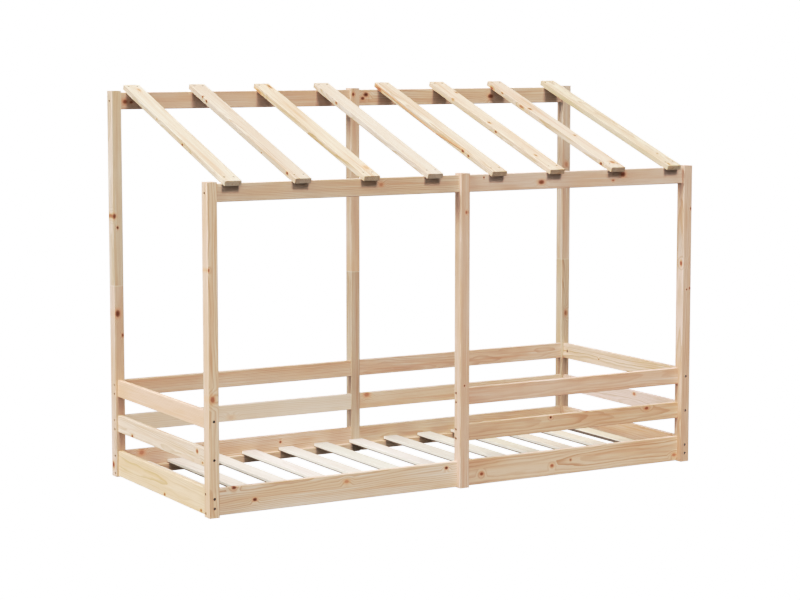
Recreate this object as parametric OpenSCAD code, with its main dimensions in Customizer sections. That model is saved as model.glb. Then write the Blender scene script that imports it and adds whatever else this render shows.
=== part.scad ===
// Child's bed of plain softwood boards, with guard rails on three sides and a
// half, slats under the mattress and a sloping slatted roof on six posts.
// Millimetres. +Z is up, +X along the bed, +Y from the open front to the rear.
// The origin is on the floor, under the middle of the bed's outline.

/* [Overall] */
// Length over the end posts
bed_l = 1960; // [1900:10:2060]
// Depth over the front and rear posts
bed_w = 830; // [780:5:930]
// Height of the front posts
front_h = 1102; // [1000:1:1200]
// Height of the rear posts
rear_h = 1381; // [1280:1:1480]

/* [Posts] */
// Post size along the bed
post_x = 37; // [35:1:42]
// Post size across the bed
post_y = 41; // [40:1:46]
// Radius of the eased long edges of posts and boards
ease = 2; // [1:0.5:3]
// Height of the seam in the rear posts, as a share of their height
seam_at = 0.5; // [0.42:0.01:0.6]

/* [Rails and beams] */
// Thickness of the rails, guards and beams
board_t = 17; // [16:0.5:18]
// Height of the guard rails and roof beams
rail_h = 60; // [56:1:68]
// Height of the wide bottom rails
bottom_h = 91; // [88:1:98]
// Underside of the bottom rails above the floor
bottom_z = 2; // [0:0.5:4]
// Underside of the lower guard rails
lower_z = 162; // [150:1:172]
// Underside of the upper guard rails
upper_z = 290; // [280:1:330]
// Beam tops below the post tops
beam_drop = 6; // [3:1:12]
// Centre of the long rails behind the posts' outer faces
rail_in = 30.3; // [29:0.1:31]

/* [Slats] */
// Thickness of the ledger battens
ledger_t = 18; // [16:1:20]
// Height of the ledger battens
ledger_h = 28; // [26:1:32]
// Underside of the ledger battens
ledger_z = 5; // [4:0.5:8]
// Width of a bed slat
slat_w = 58; // [50:1:64]
// Thickness of a bed slat
slat_t = 14; // [12:1:16]
// Spacing of the middle bed slats
slat_pitch = 150.6; // [146:0.1:152]
// Centre of the end slats from the bed's end
slat_end = 99.3; // [97:0.1:104]

/* [Roof] */
// Width of a roof slat
roof_w = 60; // [56:1:64]
// Thickness of a roof slat
roof_t = 20; // [18:1:22]
// Depth of the seats cut into a roof slat's underside where it lies on the beams
roof_seat = 2.5; // [2:0.5:3.5]
// Length of a roof slat along its slope
roof_l = 888; // [878:1:892]
// Spacing of the roof slats
roof_pitch = 254.2; // [250:0.1:256]
// How far the roof slats reach out in front of the front posts
roof_over = 13; // [8:1:16]
// Sideways run of each roof slat over its length
roof_run = 2; // [0:1:12]

/* [Fasteners] */
// Radius of the recess for a bolt head
recess_r = 4.5; // [4.4:0.1:5]
// Depth of the recess for a bolt head
recess_d = 10; // [7:0.5:11]
// Radius of the bolt and stud clearance holes
bolt_hole_r = 3.5; // [3.2:0.1:3.6]

/* [Hidden] */
$fn = 32;
eps = 0.01;
pine = [0.87, 0.73, 0.56];
pine_roof = [0.9, 0.78, 0.62];
zinc = [0.72, 0.72, 0.7];
beech = [0.78, 0.6, 0.42];

half_l = bed_l / 2;
y_front = -(bed_w + roof_over) / 2 + roof_over;
y_rear = y_front + bed_w;
bay_in = post_x / 2;
bay_out = half_l - post_x;
bay_len = bay_out - bay_in;
bay_mid = (bay_out + bay_in) / 2;
end_len = bed_w - 2 * post_y;
y_mid = (y_front + y_rear) / 2;
x_end = half_l - post_x / 2;

y_rail_f = y_front + rail_in;
y_rail_r = y_rear - rail_in;
y_beam_f = y_front + post_y / 2;
y_beam_r = y_rear - post_y / 2;
z_beam_f = front_h - beam_drop - rail_h / 2;
z_beam_r = rear_h - beam_drop - rail_h / 2;
z_low = lower_z + rail_h / 2;
z_up = upper_z + rail_h / 2;
z_bot = bottom_z + bottom_h / 2;

// bolt heights: the bolts along the bed sit a little low in their rails, which
// keeps them clear of the bolts across it
drop = 3.5;
guard_pair = [-16 - drop, 16 - drop];
bottom_pair = [-32 - drop, 32 - drop];
end_pair = [-16, 16];
z_guards = [z_low + guard_pair[0], z_low + guard_pair[1], z_up + guard_pair[0], z_up + guard_pair[1]];
z_bottoms = [z_bot + bottom_pair[0], z_bot + bottom_pair[1]];
z_ends = [z_bot - 16, z_bot + 16, z_low, z_up];

bolt_r = 3;
bolt_l = 68;
head_r = 4.2;
head_l = 4;
nut_r = 5;
nut_l = 13;
nut_at = 28;
channel_l = 44;
stud_in = 38;
dowel_r = 4;
dowel_l = 60;
dowel_x = 9;
seam_z = rear_h * seam_at;

screw_r = 2;
screw_head_r = 3.9;
screw_l = 30;
roof_screw_l = 38;
roof_screw_x = 17;
slat_gap = 2.7;
ledger_gap = 3;
slat_len = bed_w - 2 * (rail_in + board_t / 2) - 2 * slat_gap;
y_ledge_f = y_rail_f + board_t / 2 + ledger_t / 2;
y_ledge_r = y_rail_r - board_t / 2 - ledger_t / 2;
slat_z = ledger_z + ledger_h;
end_step = half_l - slat_end;

// the plane of the roof slats' seats rests on the eased front edges of both beams
slope = atan2(rear_h - front_h, bed_w - post_y);
skew = atan2(roof_run, roof_l);
touch_y = y_beam_f - board_t / 2 + ease - ease * sin(slope);
touch_z = front_h - beam_drop - ease + ease * cos(slope) + 0.02;
roof_y = y_front - roof_over + (roof_t - roof_seat) * sin(slope) + roof_w / 2 * sin(skew) * cos(slope);
roof_z = touch_z + (roof_y - touch_y) * tan(slope);
seat_front = (y_beam_f + board_t / 2 + 1 - roof_y) / cos(slope);
seat_rear = (y_beam_r - board_t / 2 - 1 - roof_y) / cos(slope) - roof_seat * tan(slope);
roof_drift = [-1, 0, 6, -0.5, 5.5, -6.5, 2.5, -1];
function roof_x(k) = (k - 3.5) * roof_pitch + roof_drift[k];
function roof_x_at(k, y) = roof_x(k) + (y - roof_y) / cos(slope) * tan(skew);
function roof_under(y) = roof_z + (y - roof_y) * tan(slope);
function roof_head(y) = roof_under(y) + (roof_t - roof_seat) / cos(slope) - 3;
function slat_x(k) = k == 0 ? -end_step : k == 12 ? end_step : (k - 6) * slat_pitch;
function ledge_screw_x(k) = (k + 0.5) * slat_pitch;
// the middle slat lies on the ends of the ledgers, with a screw into each
function slat_screws(k) = k == 6 ? [4.8 - slat_w / 2, slat_w / 2 - 4.8] : [0];

// ---- shared shapes ----

// rectangle with eased corners
module eased(a, b, r) {
  union() {
    square([a - 2 * r, b], center = true);
    square([a, b - 2 * r], center = true);
    for (i = [-1, 1], j = [-1, 1]) translate([i * (a / 2 - r), j * (b / 2 - r)]) circle(r);
  }
}

// board lying along X, centred
module board_x(len, t, h, r) {
  rotate([90, 0, 90]) linear_extrude(height = len, center = true) eased(t, h, r);
}

// board lying along Y, centred
module board_y(len, t, h, r) {
  rotate([90, 0, 0]) linear_extrude(height = len, center = true) eased(t, h, r);
}

// round hole or rod along X from x1 to x2
module rod_x(x1, x2, y, z, r) {
  translate([x1, y, z]) rotate([0, 90, 0]) cylinder(h = x2 - x1, r = r);
}

// round hole or rod along Y from y1 to y2
module rod_y(x, y1, y2, z, r) {
  translate([x, y1, z]) rotate([-90, 0, 0]) cylinder(h = y2 - y1, r = r);
}

// post between two heights, at a corner or middle position
module post_body(x, y, z1, z2) {
  translate([x, y, z1]) linear_extrude(height = z2 - z1) eased(post_x, post_y, ease);
}

// bolt hole along X through a post, with the head's recess on the side s
module post_hole_x(x, y, z, s) {
  rod_x(x - post_x / 2 - 1, x + post_x / 2 + 1, y, z, bolt_hole_r);
  if (s < 0) rod_x(x - post_x / 2 - 1, x - post_x / 2 + recess_d, y, z, recess_r);
  if (s > 0) rod_x(x + post_x / 2 - recess_d, x + post_x / 2 + 1, y, z, recess_r);
}

// bolt hole along Y through a post, with the head's recess on the side s
module post_hole_y(x, y, z, s) {
  rod_y(x, y - post_y / 2 - 1, y + post_y / 2 + 1, z, bolt_hole_r);
  if (s < 0) rod_y(x, y - post_y / 2 - 1, y - post_y / 2 + recess_d, z, recess_r);
  if (s > 0) rod_y(x, y + post_y / 2 - recess_d, y + post_y / 2 + 1, z, recess_r);
}

// holes of a front post: s is -1 left, 0 middle, 1 right
module front_post(s) {
  x = s * x_end;
  y = y_front + post_y / 2;
  difference() {
    post_body(x, y, 0, front_h);
    for (z = z_bottoms) post_hole_x(x, y_rail_f, z, s);
    if (s >= 0) for (z = z_guards) post_hole_x(x, y_rail_f, z, s == 0 ? -1 : 1);
    post_hole_x(x, y_beam_f, z_beam_f, s);
    if (s != 0) for (z = z_ends) post_hole_y(x, y, z, -1);
  }
}

module rear_post_lower(s) {
  x = s * x_end;
  y = y_rear - post_y / 2;
  difference() {
    post_body(x, y, 0, seam_z);
    for (z = z_bottoms) post_hole_x(x, y_rail_r, z, s);
    for (z = z_guards) post_hole_x(x, y_rail_r, z, s);
    if (s != 0) for (z = z_ends) post_hole_y(x, y, z, 1);
    for (d = [-dowel_x, dowel_x])
      translate([x + d, y, seam_z - dowel_l / 2 - 1]) cylinder(h = dowel_l, r = dowel_r + 0.03);
  }
}

module rear_post_upper(s) {
  x = s * x_end;
  y = y_rear - post_y / 2;
  difference() {
    post_body(x, y, seam_z, rear_h);
    post_hole_x(x, y_beam_r, z_beam_r, s);
    for (d = [-dowel_x, dowel_x])
      translate([x + d, y, seam_z - 1]) cylinder(h = dowel_l / 2 + 2, r = dowel_r + 0.03);
  }
}

// rail, guard or beam along X in the half s, bolted at both ends; pair holds the
// bolt heights from the board's centre, roof the first and last roof slat on it
module long_board(s, y, zc, h, pair) {
  difference() {
    translate([s * bay_mid, y, zc]) board_x(bay_len, board_t, h, ease);
    for (e = [-1, 1], dz = pair) {
      x_face = s * bay_mid + e * bay_len / 2;
      rod_x(min(x_face + e, x_face - e * channel_l), max(x_face + e, x_face - e * channel_l), y, zc + dz, bolt_hole_r);
      rod_y(x_face - e * nut_at, y - nut_l / 2 - 0.2, y + board_t / 2 + 1, zc + dz, nut_r + 0.1);
    }
  }
}

// beam with the pilot holes of its roof slats' screws
module beam(s, y, zc) {
  difference() {
    long_board(s, y, zc, rail_h, [0]);
    for (k = s < 0 ? [0 : 3] : [4 : 7], d = [-roof_screw_x, roof_screw_x])
      translate([roof_x_at(k, y) + d, y, roof_head(y) - roof_screw_l - 0.2])
        cylinder(h = roof_screw_l, r = screw_r + 0.03);
  }
}

// bottom rail along X with the pilot holes of its ledger's screws
module long_bottom_rail(s, y, side) {
  difference() {
    long_board(s, y, z_bot, bottom_h, bottom_pair);
    for (k = [0 : 5])
      rod_y(s * ledge_screw_x(k), min(y + side * (board_t / 2 + 1), y + side * (board_t / 2 - 13)),
            max(y + side * (board_t / 2 + 1), y + side * (board_t / 2 - 13)), ledger_z + ledger_h / 2, screw_r + 0.03);
  }
}

// rail or guard along Y at the end s
module end_board(s, zc, h, pair) {
  x = s * x_end;
  difference() {
    translate([x, y_mid, zc]) board_y(end_len, board_t, h, ease);
    for (e = [-1, 1], dz = pair) {
      y_face = y_mid + e * end_len / 2;
      rod_y(x, min(y_face + e, y_face - e * channel_l), max(y_face + e, y_face - e * channel_l), zc + dz, bolt_hole_r);
      rod_x(s > 0 ? x - board_t / 2 - 1 : x - nut_l / 2 - 0.2, s > 0 ? x + nut_l / 2 + 0.2 : x + board_t / 2 + 1,
            y_face - e * nut_at, zc + dz, nut_r + 0.1);
    }
  }
}

// ledger batten in the half s; side is the direction from its rail to the bed
module ledger(s, y, side) {
  zc = ledger_z + ledger_h / 2;
  difference() {
    translate([s * bay_mid, y, zc]) board_x(bay_len - 2 * ledger_gap, ledger_t, ledger_h, 1.5);
    for (k = [0 : 5]) {
      rod_y(s * ledge_screw_x(k), y - ledger_t / 2 - 1, y + ledger_t / 2 + 1, zc, screw_r + 0.1);
      rod_y(s * ledge_screw_x(k), side > 0 ? y + ledger_t / 2 - 3.2 : y - ledger_t / 2 - 1,
            side > 0 ? y + ledger_t / 2 + 1 : y - ledger_t / 2 + 3.2, zc, screw_head_r + 0.15);
    }
    for (k = s < 0 ? [0 : 6] : [6 : 12])
      translate([k == 6 ? s * (slat_w / 2 - 4.8) : slat_x(k), y, slat_z - 17]) cylinder(h = 18, r = screw_r + 0.03);
  }
}

module bed_slat(k) {
  difference() {
    translate([slat_x(k), y_mid, slat_z + slat_t / 2]) board_y(slat_len, slat_w, slat_t, 2.5);
    for (y = [y_ledge_f, y_ledge_r], d = slat_screws(k)) translate([slat_x(k) + d, y, 0]) {
      translate([0, 0, slat_z - 1]) cylinder(h = slat_t + 2, r = screw_r + 0.1);
      translate([0, 0, slat_z + slat_t - 3.6]) cylinder(h = 5, r = screw_head_r + 0.15);
    }
  }
}

// roof slat with a shallow seat cut over each beam
module roof_slat(k) {
  difference() {
    translate([roof_x(k), roof_y, roof_z]) rotate([slope, 0, 0]) rotate([0, 0, -skew]) difference() {
      translate([0, roof_l / 2, roof_t / 2 - roof_seat]) board_y(roof_l, roof_w, roof_t, 1.5);
      translate([-roof_w, -1, -roof_seat - 1]) cube([2 * roof_w, seat_front + 1, roof_seat + 1]);
      translate([-roof_w, seat_rear, -roof_seat - 1]) cube([2 * roof_w, roof_l - seat_rear + 1, roof_seat + 1]);
    }
    for (y = [y_beam_f, y_beam_r], d = [-roof_screw_x, roof_screw_x])
      translate([roof_x_at(k, y) + d, y, roof_head(y) - 3]) {
        translate([0, 0, -30]) cylinder(h = 31, r = screw_r + 0.1);
        cylinder(h = 12, r = screw_head_r + 0.15);
      }
  }
}

// bolt along +Z with the underside of its head at the origin
module bolt() {
  difference() {
    translate([0, 0, -head_l]) cylinder(h = head_l, r = head_r);
    translate([0, 0, -head_l - 1]) cylinder(h = 3.5, r = 2.9, $fn = 6);
  }
  translate([0, 0, -eps]) cylinder(h = bolt_l, r = bolt_r);
}

// countersunk wood screw along -Z with its head's flat at the origin
module wood_screw(len) {
  difference() {
    union() {
      translate([0, 0, -0.5]) cylinder(h = 0.5, r = screw_head_r);
      translate([0, 0, -2.5]) cylinder(h = 2.001, r1 = screw_r, r2 = screw_head_r);
      translate([0, 0, -len]) cylinder(h = len - 2.4, r = screw_r);
    }
    for (a = [0, 90]) rotate([0, 0, a]) translate([-2.2, -0.5, -1.4]) cube([4.4, 1, 3]);
  }
}

// barrel nut, its thread across its middle; the rod runs along X or Y
module nut_for_x(x, y, z) {
  difference() {
    rod_y(x, y - nut_l / 2, y + nut_l / 2, z, nut_r);
    rod_x(x - nut_r - 1, x + nut_r + 1, y, z, bolt_r + 0.03);
  }
}

module nut_for_y(x, y, z) {
  difference() {
    rod_x(x - nut_l / 2, x + nut_l / 2, y, z, nut_r);
    rod_y(x, y - nut_r - 1, y + nut_r + 1, z, bolt_r + 0.03);
  }
}

// ---- posts ----
module front_left_post() color(pine) front_post(-1);
module front_middle_post() color(pine) front_post(0);
module front_right_post() color(pine) front_post(1);
module rear_left_post_lower() color(pine) rear_post_lower(-1);
module rear_left_post_upper() color(pine) rear_post_upper(-1);
module rear_middle_post_lower() color(pine) rear_post_lower(0);
module rear_middle_post_upper() color(pine) rear_post_upper(0);
module rear_right_post_lower() color(pine) rear_post_lower(1);
module rear_right_post_upper() color(pine) rear_post_upper(1);

// ---- roof beams ----
module front_left_beam() color(pine) beam(-1, y_beam_f, z_beam_f);
module front_right_beam() color(pine) beam(1, y_beam_f, z_beam_f);
module rear_left_beam() color(pine) beam(-1, y_beam_r, z_beam_r);
module rear_right_beam() color(pine) beam(1, y_beam_r, z_beam_r);

// ---- guards ----
module front_right_lower_guard() color(pine) long_board(1, y_rail_f, z_low, rail_h, guard_pair);
module front_right_upper_guard() color(pine) long_board(1, y_rail_f, z_up, rail_h, guard_pair);
module rear_left_lower_guard() color(pine) long_board(-1, y_rail_r, z_low, rail_h, guard_pair);
module rear_left_upper_guard() color(pine) long_board(-1, y_rail_r, z_up, rail_h, guard_pair);
module rear_right_lower_guard() color(pine) long_board(1, y_rail_r, z_low, rail_h, guard_pair);
module rear_right_upper_guard() color(pine) long_board(1, y_rail_r, z_up, rail_h, guard_pair);
module left_end_lower_guard() color(pine) end_board(-1, z_low, rail_h, [0]);
module left_end_upper_guard() color(pine) end_board(-1, z_up, rail_h, [0]);
module right_end_lower_guard() color(pine) end_board(1, z_low, rail_h, [0]);
module right_end_upper_guard() color(pine) end_board(1, z_up, rail_h, [0]);

// ---- bottom rails ----
module front_left_bottom_rail() color(pine) long_bottom_rail(-1, y_rail_f, 1);
module front_right_bottom_rail() color(pine) long_bottom_rail(1, y_rail_f, 1);
module rear_left_bottom_rail() color(pine) long_bottom_rail(-1, y_rail_r, -1);
module rear_right_bottom_rail() color(pine) long_bottom_rail(1, y_rail_r, -1);
module left_end_bottom_rail() color(pine) end_board(-1, z_bot, bottom_h, end_pair);
module right_end_bottom_rail() color(pine) end_board(1, z_bot, bottom_h, end_pair);

// ---- ledgers ----
module front_left_ledger() color(pine) ledger(-1, y_ledge_f, 1);
module front_right_ledger() color(pine) ledger(1, y_ledge_f, 1);
module rear_left_ledger() color(pine) ledger(-1, y_ledge_r, -1);
module rear_right_ledger() color(pine) ledger(1, y_ledge_r, -1);

// ---- bed slats, left to right ----
module bed_slat_1() color(pine) bed_slat(0);
module bed_slat_2() color(pine) bed_slat(1);
module bed_slat_3() color(pine) bed_slat(2);
module bed_slat_4() color(pine) bed_slat(3);
module bed_slat_5() color(pine) bed_slat(4);
module bed_slat_6() color(pine) bed_slat(5);
module bed_slat_7() color(pine) bed_slat(6);
module bed_slat_8() color(pine) bed_slat(7);
module bed_slat_9() color(pine) bed_slat(8);
module bed_slat_10() color(pine) bed_slat(9);
module bed_slat_11() color(pine) bed_slat(10);
module bed_slat_12() color(pine) bed_slat(11);
module bed_slat_13() color(pine) bed_slat(12);

// ---- roof slats, left to right ----
module roof_slat_1() color(pine_roof) roof_slat(0);
module roof_slat_2() color(pine_roof) roof_slat(1);
module roof_slat_3() color(pine_roof) roof_slat(2);
module roof_slat_4() color(pine_roof) roof_slat(3);
module roof_slat_5() color(pine_roof) roof_slat(4);
module roof_slat_6() color(pine_roof) roof_slat(5);
module roof_slat_7() color(pine_roof) roof_slat(6);
module roof_slat_8() color(pine_roof) roof_slat(7);

// ---- fasteners ----

// bolts through the end posts and, for the front guards, the front middle post
module rail_bolts() color(zinc) {
  for (s = [-1, 1]) {
    x = s * (half_l - recess_d);
    for (z = concat(z_bottoms, s > 0 ? z_guards : [])) translate([x, y_rail_f, z]) rotate([0, -s * 90, 0]) bolt();
    for (z = concat(z_bottoms, z_guards)) translate([x, y_rail_r, z]) rotate([0, -s * 90, 0]) bolt();
    translate([x, y_beam_f, z_beam_f]) rotate([0, -s * 90, 0]) bolt();
    translate([x, y_beam_r, z_beam_r]) rotate([0, -s * 90, 0]) bolt();
    for (z = z_ends) {
      translate([s * x_end, y_front + recess_d, z]) rotate([-90, 0, 0]) bolt();
      translate([s * x_end, y_rear - recess_d, z]) rotate([90, 0, 0]) bolt();
    }
  }
  for (z = z_guards) translate([-post_x / 2 + recess_d, y_rail_f, z]) rotate([0, 90, 0]) bolt();
}

// threaded studs through the middle posts
module post_studs() color(zinc) {
  e = bay_in + stud_in;
  for (z = z_bottoms) rod_x(-e, e, y_rail_f, z, bolt_r);
  for (z = concat(z_bottoms, z_guards)) rod_x(-e, e, y_rail_r, z, bolt_r);
  rod_x(-e, e, y_beam_f, z_beam_f, bolt_r);
  rod_x(-e, e, y_beam_r, z_beam_r, bolt_r);
}

module barrel_nuts() color(zinc) {
  for (s = [-1, 1]) {
    for (x = [bay_in + nut_at, bay_out - nut_at]) {
      for (z = concat(z_bottoms, s > 0 ? z_guards : [])) nut_for_x(s * x, y_rail_f, z);
      for (z = concat(z_bottoms, z_guards)) nut_for_x(s * x, y_rail_r, z);
      nut_for_x(s * x, y_beam_f, z_beam_f);
      nut_for_x(s * x, y_beam_r, z_beam_r);
    }
    for (e = [-1, 1], z = z_ends) nut_for_y(s * x_end, y_mid + e * (end_len / 2 - nut_at), z);
  }
}

module post_dowels() color(beech) {
  for (s = [-1, 0, 1], d = [-dowel_x, dowel_x])
    translate([s * x_end + d, y_rear - post_y / 2, seam_z - dowel_l / 2]) cylinder(h = dowel_l, r = dowel_r);
}

module roof_slat_screws() color(zinc) {
  for (k = [0 : 7], y = [y_beam_f, y_beam_r], d = [-roof_screw_x, roof_screw_x])
    translate([roof_x_at(k, y) + d, y, roof_head(y)]) rotate([0, 0, 37 * k + d]) wood_screw(roof_screw_l);
}

// screws of the bed slats and of the ledgers
module bed_slat_screws() color(zinc) {
  for (k = [0 : 12], y = [y_ledge_f, y_ledge_r], d = slat_screws(k))
    translate([slat_x(k) + d, y, slat_z + slat_t - 0.8]) rotate([0, 0, 31 * k + d]) wood_screw(screw_l);
  for (s = [-1, 1], k = [0 : 5]) {
    translate([s * ledge_screw_x(k), y_ledge_f + ledger_t / 2 - 0.4, ledger_z + ledger_h / 2]) rotate([-90, 0, 0]) wood_screw(screw_l);
    translate([s * ledge_screw_x(k), y_ledge_r - ledger_t / 2 + 0.4, ledger_z + ledger_h / 2]) rotate([90, 0, 0]) wood_screw(screw_l);
  }
}

front_left_post();
front_middle_post();
front_right_post();
rear_left_post_lower();
rear_left_post_upper();
rear_middle_post_lower();
rear_middle_post_upper();
rear_right_post_lower();
rear_right_post_upper();
front_left_beam();
front_right_beam();
rear_left_beam();
rear_right_beam();
front_right_lower_guard();
front_right_upper_guard();
rear_left_lower_guard();
rear_left_upper_guard();
rear_right_lower_guard();
rear_right_upper_guard();
left_end_lower_guard();
left_end_upper_guard();
right_end_lower_guard();
right_end_upper_guard();
front_left_bottom_rail();
front_right_bottom_rail();
rear_left_bottom_rail();
rear_right_bottom_rail();
left_end_bottom_rail();
right_end_bottom_rail();
front_left_ledger();
front_right_ledger();
rear_left_ledger();
rear_right_ledger();
bed_slat_1();
bed_slat_2();
bed_slat_3();
bed_slat_4();
bed_slat_5();
bed_slat_6();
bed_slat_7();
bed_slat_8();
bed_slat_9();
bed_slat_10();
bed_slat_11();
bed_slat_12();
bed_slat_13();
roof_slat_1();
roof_slat_2();
roof_slat_3();
roof_slat_4();
roof_slat_5();
roof_slat_6();
roof_slat_7();
roof_slat_8();
rail_bolts();
post_studs();
barrel_nuts();
post_dowels();
roof_slat_screws();
bed_slat_screws();
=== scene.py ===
import bpy
import math
import random
from mathutils import Matrix, Vector


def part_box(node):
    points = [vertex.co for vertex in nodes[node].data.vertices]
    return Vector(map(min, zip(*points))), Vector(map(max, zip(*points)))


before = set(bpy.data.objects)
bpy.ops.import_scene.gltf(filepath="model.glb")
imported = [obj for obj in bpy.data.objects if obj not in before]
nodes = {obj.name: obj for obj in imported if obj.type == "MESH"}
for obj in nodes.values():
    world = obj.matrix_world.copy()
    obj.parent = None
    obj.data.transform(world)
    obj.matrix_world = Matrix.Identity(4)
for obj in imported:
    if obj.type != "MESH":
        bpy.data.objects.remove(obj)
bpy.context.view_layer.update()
SLOPE = math.atan2(1.381 - 1.102, 0.830 - 0.041)
SKEW = math.atan2(2, 888)

# ---------------------------------------------------------------- node helpers


class Tree:
    def __init__(self, tree):
        self.t = tree
        self.col = 0

    def node(self, kind, **props):
        n = self.t.nodes.new(kind)
        n.location = (self.col % 24 * 180, -(self.col // 24) * 260)
        self.col += 1
        for k, v in props.items():
            setattr(n, k, v)
        return n

    def link(self, a, b):
        self.t.links.new(a, b)

    def put(self, socket, value):
        if isinstance(value, bpy.types.NodeSocket):
            self.link(value, socket)
        elif value is not None:
            socket.default_value = value

    def math(self, op, a, b=None, c=None, clamp=False):
        n = self.node("ShaderNodeMath", operation=op, use_clamp=clamp)
        for s, v in zip(n.inputs, (a, b, c)):
            self.put(s, v)
        return n.outputs[0]

    def vec(self, op, a, b=None):
        n = self.node("ShaderNodeVectorMath", operation=op)
        self.put(n.inputs[0], a)
        if b is not None:
            self.put(n.inputs[1], b)
        return n.outputs["Value"] if op in ("LENGTH", "DOT_PRODUCT", "DISTANCE") else n.outputs["Vector"]

    def ramp(self, x, a, b, lo=0.0, hi=1.0, kind="SMOOTHSTEP"):
        n = self.node("ShaderNodeMapRange", interpolation_type=kind)
        self.put(n.inputs["Value"], x)
        self.put(n.inputs["From Min"], a)
        self.put(n.inputs["From Max"], b)
        self.put(n.inputs["To Min"], lo)
        self.put(n.inputs["To Max"], hi)
        return n.outputs["Result"]

    def noise(self, vector, scale=1.0, detail=2.0, rough=0.5, kind="FBM", dims="3D"):
        n = self.node("ShaderNodeTexNoise", noise_dimensions=dims)
        self.put(n.inputs["Vector"], vector)
        self.put(n.inputs["Scale"], scale)
        self.put(n.inputs["Detail"], detail)
        self.put(n.inputs["Roughness"], rough)
        return n.outputs[0]

    def mix(self, f, a, b, blend="MIX"):
        n = self.node("ShaderNodeMix", data_type="RGBA", blend_type=blend)
        self.put(n.inputs[0], f)
        self.put(n.inputs[6], a)
        self.put(n.inputs[7], b)
        return n.outputs[2]

    def combine(self, x, y, z):
        n = self.node("ShaderNodeCombineXYZ")
        for s, v in zip(n.inputs, (x, y, z)):
            self.put(s, v)
        return n.outputs[0]

    def separate(self, v):
        n = self.node("ShaderNodeSeparateXYZ")
        self.put(n.inputs[0], v)
        return n.outputs[0], n.outputs[1], n.outputs[2]


def rgb(r, g, b):
    """sRGB 0..255 to scene linear."""
    out = []
    for v in (r, g, b):
        v /= 255
        out.append(v / 12.92 if v <= 0.04045 else ((v + 0.055) / 1.055) ** 2.4)
    return (*out, 1.0)


# ---------------------------------------------------------------- pine boards

AXES = {  # columns: the board's width, thickness and grain directions
    "x": ((0, 1, 0), (0, 0, 1), (1, 0, 0)),
    "y": ((0, 0, 1), (1, 0, 0), (0, 1, 0)),
    "z": ((1, 0, 0), (0, 1, 0), (0, 0, 1)),
    "roof": (
        (math.cos(SKEW), -math.sin(SKEW) * math.cos(SLOPE), -math.sin(SKEW) * math.sin(SLOPE)),
        (0, math.sin(SLOPE), -math.cos(SLOPE)),
        (math.sin(SKEW), math.cos(SKEW) * math.cos(SLOPE), math.cos(SKEW) * math.sin(SLOPE)),
    ),
}

EARLY = rgb(234, 211, 190)
LATE = rgb(188, 146, 112)
WARM = rgb(226, 195, 168)
PALE = rgb(241, 227, 212)
HEART = rgb(208, 158, 122)
PALE_TONE_AND_HIGHLIGHT = rgb(245, 240, 228)
KNOT = rgb(186, 106, 70)
KNOT_DARK = rgb(88, 37, 16)
KNOT_HALO = rgb(222, 166, 122)
PAINTED_HOLE_SHADE = rgb(38, 30, 24)
PAINTED_EDGE_SHADE = rgb(88, 62, 46)
VEIN = rgb(230, 150, 114)
FN = (0, -math.sin(SLOPE), math.cos(SLOPE))


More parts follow.
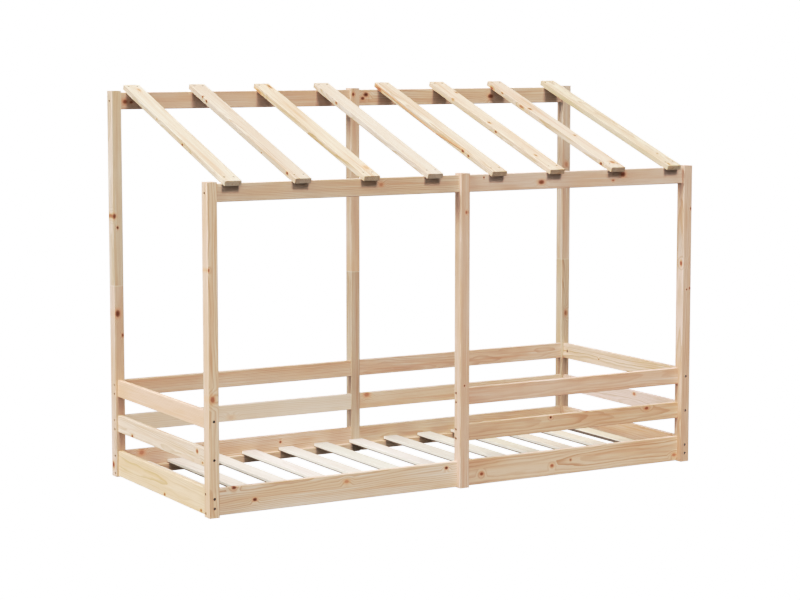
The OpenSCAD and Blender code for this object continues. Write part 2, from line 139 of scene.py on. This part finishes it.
def pine(name, axis, lo, hi, seed, tone_and_shade, knots, paleness_and_light=0.0, seam_highlight_end=0.0, low=0.0, veins=()):
    """Sawn and sanded pine: growth rings round a pith line outside or inside the board, in millimetres along the board's own axes, bent round each knot."""
    rnd = random.Random(seed)
    mat = bpy.data.materials.new(name)
    mat.use_nodes = True
    mat.node_tree.nodes.clear()
    t = Tree(mat.node_tree)
    out = t.node("ShaderNodeOutputMaterial")
    bsdf = t.node("ShaderNodeBsdfPrincipled")
    t.link(bsdf.outputs[0], out.inputs[0])

    cols = AXES[axis]
    rot = Matrix([[cols[j][i] for j in range(3)] for i in range(3)])
    centre = (lo + hi) / 2
    half_len = abs((hi - lo).dot(Vector(cols[2]))) * 500
    tc = t.node("ShaderNodeTexCoord")
    mp = t.node("ShaderNodeMapping", vector_type="TEXTURE")
    t.link(tc.outputs["Object"], mp.inputs["Vector"])
    mp.inputs["Location"].default_value = centre
    mp.inputs["Rotation"].default_value = rot.to_euler("XYZ")
    mp.inputs["Scale"].default_value = (0.001, 0.001, 0.001)
    p = mp.outputs[0]
    shift = Vector((rnd.uniform(-500, 500), rnd.uniform(-500, 500), rnd.uniform(-900, 900)))

    # pith line and spacing of the rings
    ang = rnd.uniform(0, 2 * math.pi)
    far = rnd.uniform(22, 95)
    pa, pb = far * math.cos(ang), far * math.sin(ang)
    sa, sb = rnd.uniform(-0.022, 0.022), rnd.uniform(-0.022, 0.022)
    spacing = rnd.uniform(3.0, 6.0)
    if name[5:] in SAWN:
        ang, far, sa, sb, spacing = SAWN[name[5:]]
        pa, pb = far * math.cos(math.radians(ang)), far * math.sin(math.radians(ang))
    strong = rnd.uniform(0.8, 1.0) if axis == "roof" else rnd.uniform(0.5, 0.95)
    figure = 1.6 if axis == "roof" else 1.0

    moved = t.vec("ADD", p, tuple(shift))
    slow = t.vec("MULTIPLY", moved, (0.012, 0.012, 0.0022))
    wander = t.noise(slow, 1.0, 2.0, 0.5)
    ripple = t.noise(t.vec("MULTIPLY", moved, (0.05, 0.05, 0.009)), 1.0, 2.0, 0.5)

    x, y, z = t.separate(p)
    dx = t.math("MULTIPLY_ADD", z, -sa, t.math("SUBTRACT", x, pa))
    dy = t.math("MULTIPLY_ADD", z, -sb, t.math("SUBTRACT", y, pb))
    r = t.vec("LENGTH", t.combine(dx, dy, 0.0))
    r = t.math("MULTIPLY_ADD", t.math("SUBTRACT", wander, 0.5), 26.0, r)
    r = t.math("MULTIPLY_ADD", t.math("SUBTRACT", ripple, 0.5), 5.0, r)

    # knots
    fine = t.noise(t.vec("MULTIPLY", moved, (0.35, 0.35, 0.2)), 1.0, 2.0, 0.6)
    core = rim = halo = heart = None
    for k in knots:
        kp = Vector(k[0]) / 1000 - centre
        local = Vector([kp.dot(Vector(c)) for c in cols]) * 1000
        size, dark = k[1], k[2]
        along = k[3] if len(k) > 3 else 0.75
        if len(k) > 4:
            d = Vector([Vector(k[4]).dot(Vector(c)) for c in cols])
        else:
            d = Vector((local.x - pa * 0.15, local.y - pb * 0.15, 0))
            d = Vector((0, 1, 0)) if d.length < 1 else d
        d.normalize()
        v = t.vec("MULTIPLY", t.vec("SUBTRACT", p, tuple(local)), (1.0, 1.0, along))
        dist = t.vec("LENGTH", t.vec("CROSS_PRODUCT", v, tuple(d)))
        dist = t.math("MULTIPLY_ADD", t.math("SUBTRACT", fine, 0.5), size * 0.55, dist)
        kc = t.ramp(dist, size, size * 0.72, 0.0, min(1.0, 0.35 + dark * 1.3))
        kr = t.math("MULTIPLY", t.math("MULTIPLY", t.ramp(dist, size * 1.3, size), t.ramp(dist, size * 0.55, size * 0.95)), dark * 0.6)
        kd = t.ramp(dist, size * 0.95, size * 0.4, 0.0, dark)
        kh = t.ramp(dist, size * 2.5, size * 0.9, 0.0, 0.6)
        push = t.ramp(dist, size * 4.2, size * 0.6, 0.0, size * 1.7)
        if len(k) > 5:  # a knot that goes only this deep
            deep = t.math("ABSOLUTE", t.vec("DOT_PRODUCT", v, tuple(d)))
            near = t.ramp(deep, k[5], k[5] * 0.4)
            kc, kr, kd, kh, push = (t.math("MULTIPLY", q, near) for q in (kc, kr, kd, kh, push))
        r = t.math("ADD", r, push)
        core = kc if core is None else t.math("MAXIMUM", core, kc)
        rim = kr if rim is None else t.math("MAXIMUM", rim, kr)
        heart = kd if heart is None else t.math("MAXIMUM", heart, kd)
        halo = kh if halo is None else t.math("MAXIMUM", halo, kh)

    phase = t.math("DIVIDE", r, spacing)
    f = t.math("FRACT", phase)
    ring = t.math("FLOOR", phase)
    wn = t.node("ShaderNodeTexWhiteNoise", noise_dimensions="1D")
    t.link(t.math("ADD", ring, float(seed % 97)), wn.inputs["W"])
    late = t.math("MULTIPLY", t.ramp(f, 0.35, 0.92), t.ramp(f, 1.0, 0.94))
    late = t.math("MULTIPLY", late, t.ramp(wn.outputs["Value"], 0.0, 1.0, 0.35, 1.0, "LINEAR"))

    # fibres, pores and broad changes of colour
    fibre = t.noise(t.vec("MULTIPLY", moved, (0.9, 0.9, 0.014)), 1.0, 3.0, 0.65)
    streak = t.noise(t.vec("MULTIPLY", moved, (0.16, 0.16, 0.0035)), 1.0, 2.0, 0.55)
    patch = t.noise(t.vec("MULTIPLY", moved, (0.02, 0.02, 0.0028)), 1.0, 2.0, 0.5)
    red = t.noise(t.vec("MULTIPLY", t.vec("ADD", moved, (310.0, 70.0, 920.0)), (0.075, 0.075, 0.0019)), 1.0, 2.0, 0.55)
    pore = t.noise(t.vec("MULTIPLY", moved, (1.6, 1.6, 0.05)), 1.0, 1.0, 0.5)
    pore = t.ramp(pore, 0.66, 0.78)

    col = t.mix(t.ramp(patch, 0.36, 0.66), EARLY, WARM)
    col = t.mix(t.ramp(streak, 0.52, 0.74, 0.0, 0.6), col, PALE)
    col = t.mix(t.ramp(red, 0.54, 0.76, 0.0, 0.5 * figure), col, HEART)
    col = t.mix(t.math("MULTIPLY", late, strong), col, LATE)
    col = t.mix(t.ramp(fibre, 0.35, 0.7, 0.0, 0.2 * figure), col, LATE)
    col = t.mix(t.math("MULTIPLY", pore, 0.22), col, KNOT)
    if core is not None:
        col = t.mix(halo, col, KNOT_HALO)
        col = t.mix(t.math("MULTIPLY", core, 0.85), col, KNOT)
        col = t.mix(rim, col, KNOT_DARK)
        col = t.mix(heart, col, KNOT_DARK)
    for z0, y0, z1, y1, wide in veins:  # heartwood coming out along the left side
        off = t.math("SUBTRACT", y, t.ramp(z, z0, z1, y0, y1, "LINEAR"))
        off = t.math("MULTIPLY_ADD", t.math("SUBTRACT", fine, 0.5), 3.0, off)
        here = t.math("MULTIPLY", t.ramp(z, z0 + 12.0, z0 - 12.0), t.ramp(z, z1 - 25.0, z1 + 25.0))
        here = t.math("MULTIPLY", here, t.ramp(x, -24.0, -29.0))
        band = t.ramp(t.math("ABSOLUTE", off), wide, wide * 0.5, 0.0, 0.65)
        line = t.ramp(t.math("ABSOLUTE", t.math("SUBTRACT", off, wide * 0.7)), 1.8, 0.6, 0.0, 0.6)
        col = t.mix(t.math("MULTIPLY", band, here), col, VEIN)
        col = t.mix(t.math("MULTIPLY", line, here), col, KNOT_DARK)
    # end grain drinks more light than the long faces
    geo = t.node("ShaderNodeNewGeometry")
    nn = t.math("ABSOLUTE", t.vec("DOT_PRODUCT", geo.outputs["Normal"], tuple(Vector(cols[2]))))
    end = t.ramp(nn, 0.75, 0.98)
    col = t.mix(t.math("MULTIPLY", end, 0.05 if axis == "roof" else 0.2), col, LATE)
    # paler stock on the bed slats; on the rear left lower guard this is painted light that cancels the shade falling
    # on it
    if paleness_and_light:
        col = t.mix(paleness_and_light, col, PALE_TONE_AND_HIGHLIGHT)
    # painted shade and light: the per-board factor darkens sheltered boards as if in shade, beside each board's own
    # tone
    col = t.mix(1.0, col, (*tone_and_shade, 1.0), "MULTIPLY")
    if seam_highlight_end:  # painted highlight: a pale line at the butt joint of two lengths, where a chamfer would catch the light
        painted_seam_highlight = t.ramp(t.math("MULTIPLY", z, seam_highlight_end), half_len - 5.0, half_len - 2.5, 0.0, 0.25)
        col = t.mix(painted_seam_highlight, col, PALE_TONE_AND_HIGHLIGHT)
    if low:  # painted light: the side faces are painted pale as if lit as brightly as the top, and a dark line of painted shade runs along the lower edge
        edge = t.math("ABSOLUTE", t.vec("DOT_PRODUCT", geo.outputs["Normal"], tuple(Vector(cols[0]))))
        col = t.mix(t.ramp(edge, 0.8, 0.4, 0.0, 0.85), col, PALE_TONE_AND_HIGHLIGHT)
        col = t.mix(t.ramp(x, low - 7.0, low - 8.5, 0.0, 0.85), col, PAINTED_EDGE_SHADE)
    # painted shade: the walls of drilled holes are painted dark, standing in for the shade inside a recess
    half = (30.0, 8.75, 444.0) if axis == "roof" else [abs((hi - lo).dot(Vector(c))) * 500 for c in cols]
    depth = None
    for q, h in zip((x, y, z), half):
        e = t.math("SUBTRACT", h, t.math("ABSOLUTE", q))
        depth = e if depth is None else t.math("MINIMUM", depth, e)
    col = t.mix(t.ramp(depth, 0.7, 1.8, 0.0, 0.96), col, PAINTED_HOLE_SHADE)
    t.link(col, bsdf.inputs["Base Color"])

    rough = t.math("MULTIPLY_ADD", late, -0.08, 0.6)
    rough = t.math("MULTIPLY_ADD", t.math("SUBTRACT", fibre, 0.5), 0.25, rough)
    rough = t.math("MULTIPLY_ADD", end, 0.15, rough, clamp=True)
    t.link(rough, bsdf.inputs["Roughness"])
    bsdf.inputs["Specular IOR Level"].default_value = 0.32
    height = t.math("MULTIPLY_ADD", late, 0.35, t.math("MULTIPLY", fibre, 0.8))
    height = t.math("MULTIPLY_ADD", pore, -0.5, height)
    bump = t.node("ShaderNodeBump")
    bump.inputs["Strength"].default_value = 0.45
    bump.inputs["Distance"].default_value = 0.00012
    t.link(height, bump.inputs["Height"])
    t.link(bump.outputs[0], bsdf.inputs["Normal"])
    return mat


# name: list of (x, y, z in mm), radius mm, darkness of the rim, stretch along the grain, direction
FY = (0, 1, 0)
FX = (1, 0, 0)
KNOTS = {
    "rear_left_post_upper": [((-975, 380, 938), 6, 0.7, 0.7, FY), ((-963, 380, 897), 3.5, 0.9, 0.7, FY)],
    "rear_left_post_lower": [((-967, 380, 590), 8, 0.8, 0.7, FY), ((-949, 380, 511), 3.5, 0.6, 0.6, FY), ((-980, 405, 41), 8, 0.7, 0.7, FX)],
    "rear_middle_post_upper": [((-8, 380, 1358), 5, 0.7, 0.8, FY)],
    "rear_right_post_upper": [((961, 380, 1068), 7, 0.08, 0.7, FY)],
    "rear_right_post_lower": [((963, 381, 471), 5, 0.3, 0.5, FY)],
    "front_left_post": [((-966, -408, 393), 8, 0.3, 0.75, FY), ((-976, -408, 817), 3.5, 0.3, 0.7, FY)],
    "front_middle_post": [((4, -408, 967), 4, 0.3, 0.7, FY), ((-2, -408, 362), 2.6, 1.0, 0.9, FY)],
    "front_right_post": [((943, -396, 741), 6, 0.5, 0.7, FX), ((975, -408, 943), 3, 0.9, 0.8, FY), ((976, -408, 648), 3, 0.8, 0.8, FY), ((961, -408, 644), 2.4, 1.0, 0.9, FY)],
    "rear_left_beam": [((-923, 392, 1342), 7, 0.6, 0.8, FY), ((-900, 392, 1340), 4, 0.6, 0.7, FY)],
    "rear_right_beam": [((53, 392, 1356), 7, 0.95, 0.75, FY), ((39, 393, 1342), 5.5, 0.8, 0.75, FY), ((609, 393, 1343), 8, 0.8, 0.75, FY)],
    "front_right_beam": [((322, -396, 1061), 7, 0.6, 0.6, FY), ((675, -396, 1078), 9, 0.9, 0.85, FY), ((632, -396, 1057), 3.5, 0.3, 0.6, FY), ((82, -396, 1085), 2.6, 0.9, 0.9, FY)],
    "front_left_beam": [((-328, -396, 1073), 6, 0.1, 0.8, FY)],
    "front_left_bottom_rail": [((-881, -387, 90), 5.5, 0.8, 0.7, FY), ((-805, -387, 42), 5.5, 0.9, 0.8, FY), ((-458, -387, 67), 6, 0.1, 0.7, FY), ((-62, -387, 74), 5, 0.95, 0.8, FY)],
    "front_right_bottom_rail": [((83, -387, 38), 5.5, 0.5, 0.75, FY), ((382, -387, 38), 5.5, 0.35, 0.8, FY), ((463, -387, 51), 2.4, 1.0, 1.0, FY), ((929, -387, 24), 6, 0.15, 0.7, FY)],
    "rear_left_bottom_rail": [((-321, 383, 65), 4, 0.8, 0.9, FY), ((-881, 383, 79), 8, 0.15, 0.8, FY)],
    "rear_right_lower_guard": [((49, 383, 214), 8, 0.2, 0.7, FY)],
    "rear_left_lower_guard": [((-524, 383, 175), 7, 0.05, 0.6, FY)],
    "left_end_lower_guard": [((-970, 255, 168), 5.5, 0.8, 0.7, FX), ((-970, -293, 205), 7, 0.65, 0.9, FX), ((-970, -335, 173), 3, 0.4, 0.6, FX)],
    "left_end_bottom_rail": [((-970, -23, 10), 5, 0.6, 0.8, FX), ((-970, -320, 11), 4.5, 0.6, 0.7, FX), ((-970, -264, 97), 2.2, 0.7, 0.5, FX)],
    "front_right_lower_guard": [((375, -387, 214), 3.8, 1.0, 0.9, FY), ((532, -387, 223), 2.5, 0.7, 0.3, FY), ((800, -387, 211), 5, 0.5, 0.6, FY)],
    "right_end_upper_guard": [((953, 135, 315), 2.5, 0.8, 0.8, FX), ((953, 351, 323), 2.2, 0.9, 0.9, FX)],
    "right_end_lower_guard": [((953, -101, 211), 6, 0.3, 0.7, FX)],
    "roof_slat_1": [((-920, 124, 1289), 3, 0.3, 0.6, FX, 10), ((-920, -88, 1209), 4, 0.9, 0.7, FX, 10), ((-880, 366, 1384), 5, 0.2, 0.35, FN)],
    "roof_slat_2": [((-665, 302, 1358), 4, 0.9, 0.7, FX, 10), ((-665, 270, 1343), 4.5, 0.95, 0.6, FX, 10), ((-665, -170, 1179), 2.5, 0.7, 0.7, FX, 10), ((-665, -361, 1120), 5, 0.9, 0.7, FX, 10)],
    "roof_slat_3": [((-355, 384, 1390), 4.5, 0.7, 0.22, FN), ((-405, 379, 1373), 5, 0.15, 0.2, FX, 10), ((-361, -352, 1130), 8, 0.1, 0.5, FN)],
    "roof_slat_4": [((-157, 240, 1331), 4, 0.6, 0.5, FX, 10)],
    "roof_slat_5": [((103, 389, 1376), 7, 0.35, 0.25, FX, 10), ((103, -222, 1169), 5, 0.9, 0.6, FX, 10), ((103, -260, 1153), 3.5, 0.85, 0.5, FX, 10)],
    "roof_slat_6": [((398, 304, 1362), 4.5, 0.8, 0.5, FN), ((345, 244, 1338), 5, 0.2, 0.6, FX, 10), ((360, 8, 1257), 5.5, 0.6, 0.55, FN), ((345, -59, 1226), 4, 0.95, 0.6, FX, 10), ((365, -295, 1150), 4.5, 0.5, 0.5, FN)],
    "roof_slat_7": [((608, 385, 1375), 5, 0.5, 0.4, FX, 10), ((608, 309, 1357), 3, 0.5, 0.4, FX, 10), ((620, 131, 1300), 7, 0.9, 0.7, FN), ((608, 173, 1308), 5, 0.3, 0.3, FX, 10), ((649, -128, 1209), 5, 0.7, 0.6, FN), ((608, -354, 1116), 5, 0.9, 0.7, FX, 10), ((643, -375, 1121), 9, 0.45, 0.8, FN)],
    "roof_slat_8": [((891, -312, 1144), 3, 0.7, 0.5, FN), ((872, -407, 1110), 4, 0.5, 0.5, FN)],
}

# how a board lies in its log: direction of the pith in degrees, distance of the pith, its two slopes, ring spacing
VEINS = {  # from one place (along the board, down its side) to another, and half the width
    "roof_slat_5": [(440.0, -5.0, -40.0, 8.0, 5.0), (-40.0, 6.0, -225.0, -6.0, 4.5)],
}

SAWN = {
    "rear_left_beam": (90, 85, 0.002, 0.004, 4.2),
    "front_left_bottom_rail": (75, 45, 0.012, 0.016, 6.0),
    "front_right_bottom_rail": (-6, 36, -0.012, 0.014, 5.5),
    "left_end_bottom_rail": (85, 30, 0.016, -0.012, 5.0),
}

# boards differ a little in tone; the factors also hold painted shade and light, so the sheltered inner boards are
# painted darker as if in shade
TONE_AND_PAINTED_SHADE = {
    "front_left_post": (0.98, 0.98, 1.00),
    "front_middle_post": (0.95, 0.92, 0.97),
    "front_right_post": (0.94, 0.91, 0.95),
    "rear_left_post_upper": (0.91, 0.99, 1.03),
    "rear_left_post_lower": (0.90, 0.91, 0.95),
    "rear_middle_post_upper": (0.89, 0.87, 0.89),
    "rear_middle_post_lower": (0.71, 0.76, 0.81),
    "rear_right_post_upper": (0.90, 0.95, 1.01),
    "rear_right_post_lower": (0.84, 0.88, 0.89),
    "front_left_beam": (0.92, 0.95, 0.99),
    "front_right_beam": (0.99, 0.99, 1.05),
    "rear_left_beam": (0.85, 0.81, 0.82),
    "rear_right_beam": (0.93, 0.94, 0.97),
    "rear_left_upper_guard": (0.93, 0.94, 1.00),
    "rear_right_upper_guard": (0.95, 0.96, 1.03),
    "rear_left_lower_guard": (0.95, 0.94, 0.95),
    "rear_right_lower_guard": (0.95, 0.95, 0.98),
    "rear_left_bottom_rail": (0.93, 0.91, 0.98),
    "rear_right_bottom_rail": (0.78, 0.78, 0.79),
    "front_left_bottom_rail": (1.02, 1.06, 1.12),
    "front_right_bottom_rail": (1.03, 0.99, 0.97),
    "front_right_upper_guard": (1.00, 0.93, 0.97),
    "front_right_lower_guard": (0.92, 0.84, 0.78),
    "left_end_upper_guard": (1.03, 0.94, 0.89),
    "left_end_lower_guard": (1.03, 1.10, 1.10),
    "left_end_bottom_rail": (0.99, 0.99, 0.85),
    "right_end_upper_guard": (0.92, 0.93, 0.93),
    "right_end_lower_guard": (0.96, 0.99, 1.14),
    "right_end_bottom_rail": (0.86, 0.77, 0.75),
    "roof_slat_1": (0.92, 1.08, 1.12),
    "roof_slat_2": (0.86, 0.97, 1.02),
    "roof_slat_3": (0.89, 0.97, 0.94),
    "roof_slat_4": (0.92, 1.05, 1.12),
    "roof_slat_5": (0.89, 0.98, 0.98),
    "roof_slat_6": (0.84, 0.89, 0.87),
    "roof_slat_7": (0.85, 0.91, 0.91),
    "roof_slat_8": (0.82, 0.91, 0.86),
    "bed_slat_1": (1.00, 1.05, 1.10),
    "bed_slat_2": (1.00, 1.05, 1.10),
    "bed_slat_3": (0.93, 1.00, 1.09),
    "bed_slat_4": (0.87, 0.92, 1.03),
    "bed_slat_5": (0.85, 0.92, 1.01),
    "bed_slat_6": (0.75, 0.86, 0.91),
    "bed_slat_7": (0.91, 0.97, 1.07),
    "bed_slat_8": (0.72, 0.77, 0.79),
    "bed_slat_9": (0.81, 0.90, 0.93),
    "bed_slat_10": (0.78, 0.84, 0.78),
    "bed_slat_11": (0.84, 0.83, 0.76),
    "bed_slat_12": (0.86, 0.89, 0.83),
    "bed_slat_13": (0.91, 0.94, 0.83),
}


def axis_of(name):
    if name.startswith("roof_slat"):
        return "roof"
    if "post" in name:
        return "z"
    if name.startswith("bed_slat") or "_end_" in name:
        return "y"
    return "x"


def steel(name, light, dark, painted_glint=False):
    mat = bpy.data.materials.new(name)
    mat.use_nodes = True
    mat.node_tree.nodes.clear()
    t = Tree(mat.node_tree)
    out = t.node("ShaderNodeOutputMaterial")
    bsdf = t.node("ShaderNodeBsdfPrincipled")
    t.link(bsdf.outputs[0], out.inputs[0])
    tc = t.node("ShaderNodeTexCoord")
    p = t.vec("MULTIPLY", tc.outputs["Object"], (1000.0, 1000.0, 1000.0))
    a = t.noise(p, 0.35, 3.0, 0.6)
    b = t.noise(p, 2.2, 2.0, 0.6)
    col = t.mix(t.ramp(a, 0.35, 0.7), light, dark)
    col = t.mix(t.ramp(b, 0.6, 0.8, 0.0, 0.3), col, rgb(84, 80, 74))
    if painted_glint:  # painted glint: the bolt heads of the right front post are painted bright and less metallic, standing in for the light they catch
        sx, sy, sz = t.separate(p)
        at = t.math("MULTIPLY", t.ramp(sx, 945.0, 947.0), t.ramp(sy, -380.0, -385.0))
        col = t.mix(t.math("MULTIPLY", at, 0.85), col, rgb(226, 224, 220))
        t.link(t.math("SUBTRACT", 1.0, at), bsdf.inputs["Metallic"])
    else:
        bsdf.inputs["Metallic"].default_value = 1.0
    t.link(col, bsdf.inputs["Base Color"])
    t.link(t.ramp(a, 0.3, 0.7, 0.28, 0.45, "LINEAR"), bsdf.inputs["Roughness"])
    bump = t.node("ShaderNodeBump")
    bump.inputs["Strength"].default_value = 0.3
    bump.inputs["Distance"].default_value = 0.00004
    t.link(b, bump.inputs["Height"])
    t.link(bump.outputs[0], bsdf.inputs["Normal"])
    return mat


def set_material(ob, mat):
    ob.data.materials.clear()
    ob.data.materials.append(mat)


def ease(ob, width, limit):
    weld = ob.modifiers.new("weld", "WELD")
    weld.merge_threshold = 0.000002
    bev = ob.modifiers.new("eased", "BEVEL")
    bev.width = width
    bev.segments = 2
    bev.limit_method = "ANGLE"
    bev.angle_limit = math.radians(limit)
    bev.use_clamp_overlap = True
    bev.harden_normals = False


metal = steel("zinc_steel", rgb(128, 126, 122), rgb(88, 86, 82), True)
dull = steel("dull_steel", rgb(62, 56, 50), rgb(40, 36, 32))
for i, name in enumerate(sorted(nodes)):
    ob = nodes[name]
    if name in ("rail_bolts", "post_studs", "barrel_nuts", "roof_slat_screws", "bed_slat_screws"):
        set_material(ob, dull if name == "roof_slat_screws" else metal)
        continue
    lo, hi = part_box(name)
    lo, hi = Vector(lo), Vector(hi)
    seed = 1000 + i * 7919 % 4001
    rnd = random.Random(seed * 3 + 1)
    v = rnd.uniform(-0.03, 0.03)
    w = rnd.uniform(-0.02, 0.02)
    base = TONE_AND_PAINTED_SHADE.get(name, (1.0, 1.0, 1.0))
    tone_and_shade = tuple(min(1.22, b * (1.0 + v + s * w)) for b, s in zip(base, (0.4, 0.0, -1.0)))
    # the bed slats are a paler stock; the rear left lower guard is painted paler as painted light, cancelling the
    # shade that falls on it
    paleness_and_light = 0.45 if name.startswith("bed_slat") else 0.4 if name == "rear_left_lower_guard" else 0.0
    seam_highlight_end = 1.0 if name.startswith("rear") and name.endswith("lower") else 0.0
    low = {"bed_slat_13": 11.5}.get(name, 5.0) if name.startswith("bed_slat") else 0.0
    set_material(ob, pine("pine_" + name, axis_of(name), lo, hi, seed, tone_and_shade, KNOTS.get(name, []), paleness_and_light, seam_highlight_end, low, VEINS.get(name, ())))
    if name != "post_dowels":
        ease(ob, 0.0008, 50)

# ---------------------------------------------------------------- floor, light and camera

WHITE = 1.6  # what the view's curve shows as plain white
scene = bpy.context.scene
bpy.ops.mesh.primitive_plane_add(size=80, location=(0, 0, -0.0005))
floor = bpy.context.object
floor.name = "floor"
fmat = bpy.data.materials.new("floor")
fmat.use_nodes = True
fmat.node_tree.nodes.clear()
t = Tree(fmat.node_tree)
out = t.node("ShaderNodeOutputMaterial")
lp = t.node("ShaderNodeLightPath")
seen = t.node("ShaderNodeEmission")
seen.inputs["Color"].default_value = (1, 1, 1, 1)
seen.inputs["Strength"].default_value = WHITE
dim = t.node("ShaderNodeEmission")
dim.inputs["Color"].default_value = (1.0, 0.86, 0.72, 1)
dim.inputs["Strength"].default_value = 0.05
mixer = t.node("ShaderNodeMixShader")
t.link(lp.outputs["Is Camera Ray"], mixer.inputs[0])
t.link(dim.outputs[0], mixer.inputs[1])
t.link(seen.outputs[0], mixer.inputs[2])
t.link(mixer.outputs[0], out.inputs[0])
set_material(floor, fmat)

world = bpy.data.worlds.new("studio")
scene.world = world
world.use_nodes = True
world.node_tree.nodes.clear()
t = Tree(world.node_tree)
out = t.node("ShaderNodeOutputWorld")
tc = t.node("ShaderNodeTexCoord")
x, y, z = t.separate(tc.outputs["Generated"])
up = t.math("MAXIMUM", z, 0.0)
up2 = t.math("POWER", up, 1.6)
lit = t.node("ShaderNodeBackground")
t.link(t.mix(up, (1.0, 0.78, 0.60, 1), (0.94, 0.97, 1.0, 1)), lit.inputs["Color"])
t.link(t.math("MULTIPLY_ADD", up2, 0.55, 0.05), lit.inputs["Strength"])
white = t.node("ShaderNodeBackground")
white.inputs["Color"].default_value = (1, 1, 1, 1)
white.inputs["Strength"].default_value = WHITE
lp = t.node("ShaderNodeLightPath")
mixer = t.node("ShaderNodeMixShader")
t.link(lp.outputs["Is Camera Ray"], mixer.inputs[0])
t.link(lit.outputs[0], mixer.inputs[1])
t.link(white.outputs[0], mixer.inputs[2])
t.link(mixer.outputs[0], out.inputs[0])


def sun(name, toward, strength, color, angle):
    data = bpy.data.lights.new(name, "SUN")
    data.energy = strength
    data.color = color
    data.angle = math.radians(angle)
    ob = bpy.data.objects.new(name, data)
    scene.collection.objects.link(ob)
    ob.rotation_mode = "QUATERNION"
    ob.rotation_quaternion = Vector(toward).to_track_quat("Z", "Y")
    return ob


sun("key", (-0.70, -0.03, 0.713), 3.5, (1.0, 0.985, 0.96), 18)
sun("left", (-0.98, -0.10, 0.17), 1.4, (1.0, 0.985, 0.96), 40)
sun("front", (-0.22, -0.76, 0.61), 0.42, (1.0, 0.94, 0.87), 9)
sun("high", (0.0, -0.646, 0.763), 2.1, (1.0, 0.95, 0.90), 14)
sun("fill", (-0.490, -0.849, 0.199), 0.28, (1.0, 0.95, 0.89), 20)
sun("back", (0.70, 0.71, 0.08), 2.0, (1.0, 0.96, 0.91), 40)

cam = bpy.data.cameras.new("camera")
cam.sensor_width = 36
cam.lens = 96.251
cam.shift_x = -0.00337
cam.shift_y = -0.05
cam.clip_start, cam.clip_end = 0.1, 200
cob = bpy.data.objects.new("camera", cam)
scene.collection.objects.link(cob)
az, el = math.radians(-30.0893), math.radians(5.7535)
back = Vector((math.sin(az) * math.cos(el), -math.cos(az) * math.cos(el), math.sin(el)))
right = Vector((math.cos(az), math.sin(az), 0))
upv = back.cross(right)
cob.matrix_world = Matrix.Translation((-3.8803, -6.6724, 1.5440)) @ Matrix((right, upv, back)).transposed().to_4x4()
scene.camera = cob

scene.view_settings.view_transform = "Standard"
scene.view_settings.look = "None"
scene.view_settings.exposure = 0.0
scene.view_settings.gamma = 1.0
# a soft shoulder, so that bright wood pales toward white
scene.view_settings.use_curve_mapping = True
curves = scene.view_settings.curve_mapping
curves.clip_max_x = WHITE
curves.initialize()
tone = curves.curves[3]
tone.points[1].location = (WHITE, 1.0)
for a, b in ((0.2, 0.185), (0.5, 0.52), (0.75, 0.68), (1.0, 0.81), (1.3, 0.92)):
    tone.points.new(a, b)
curves.update()
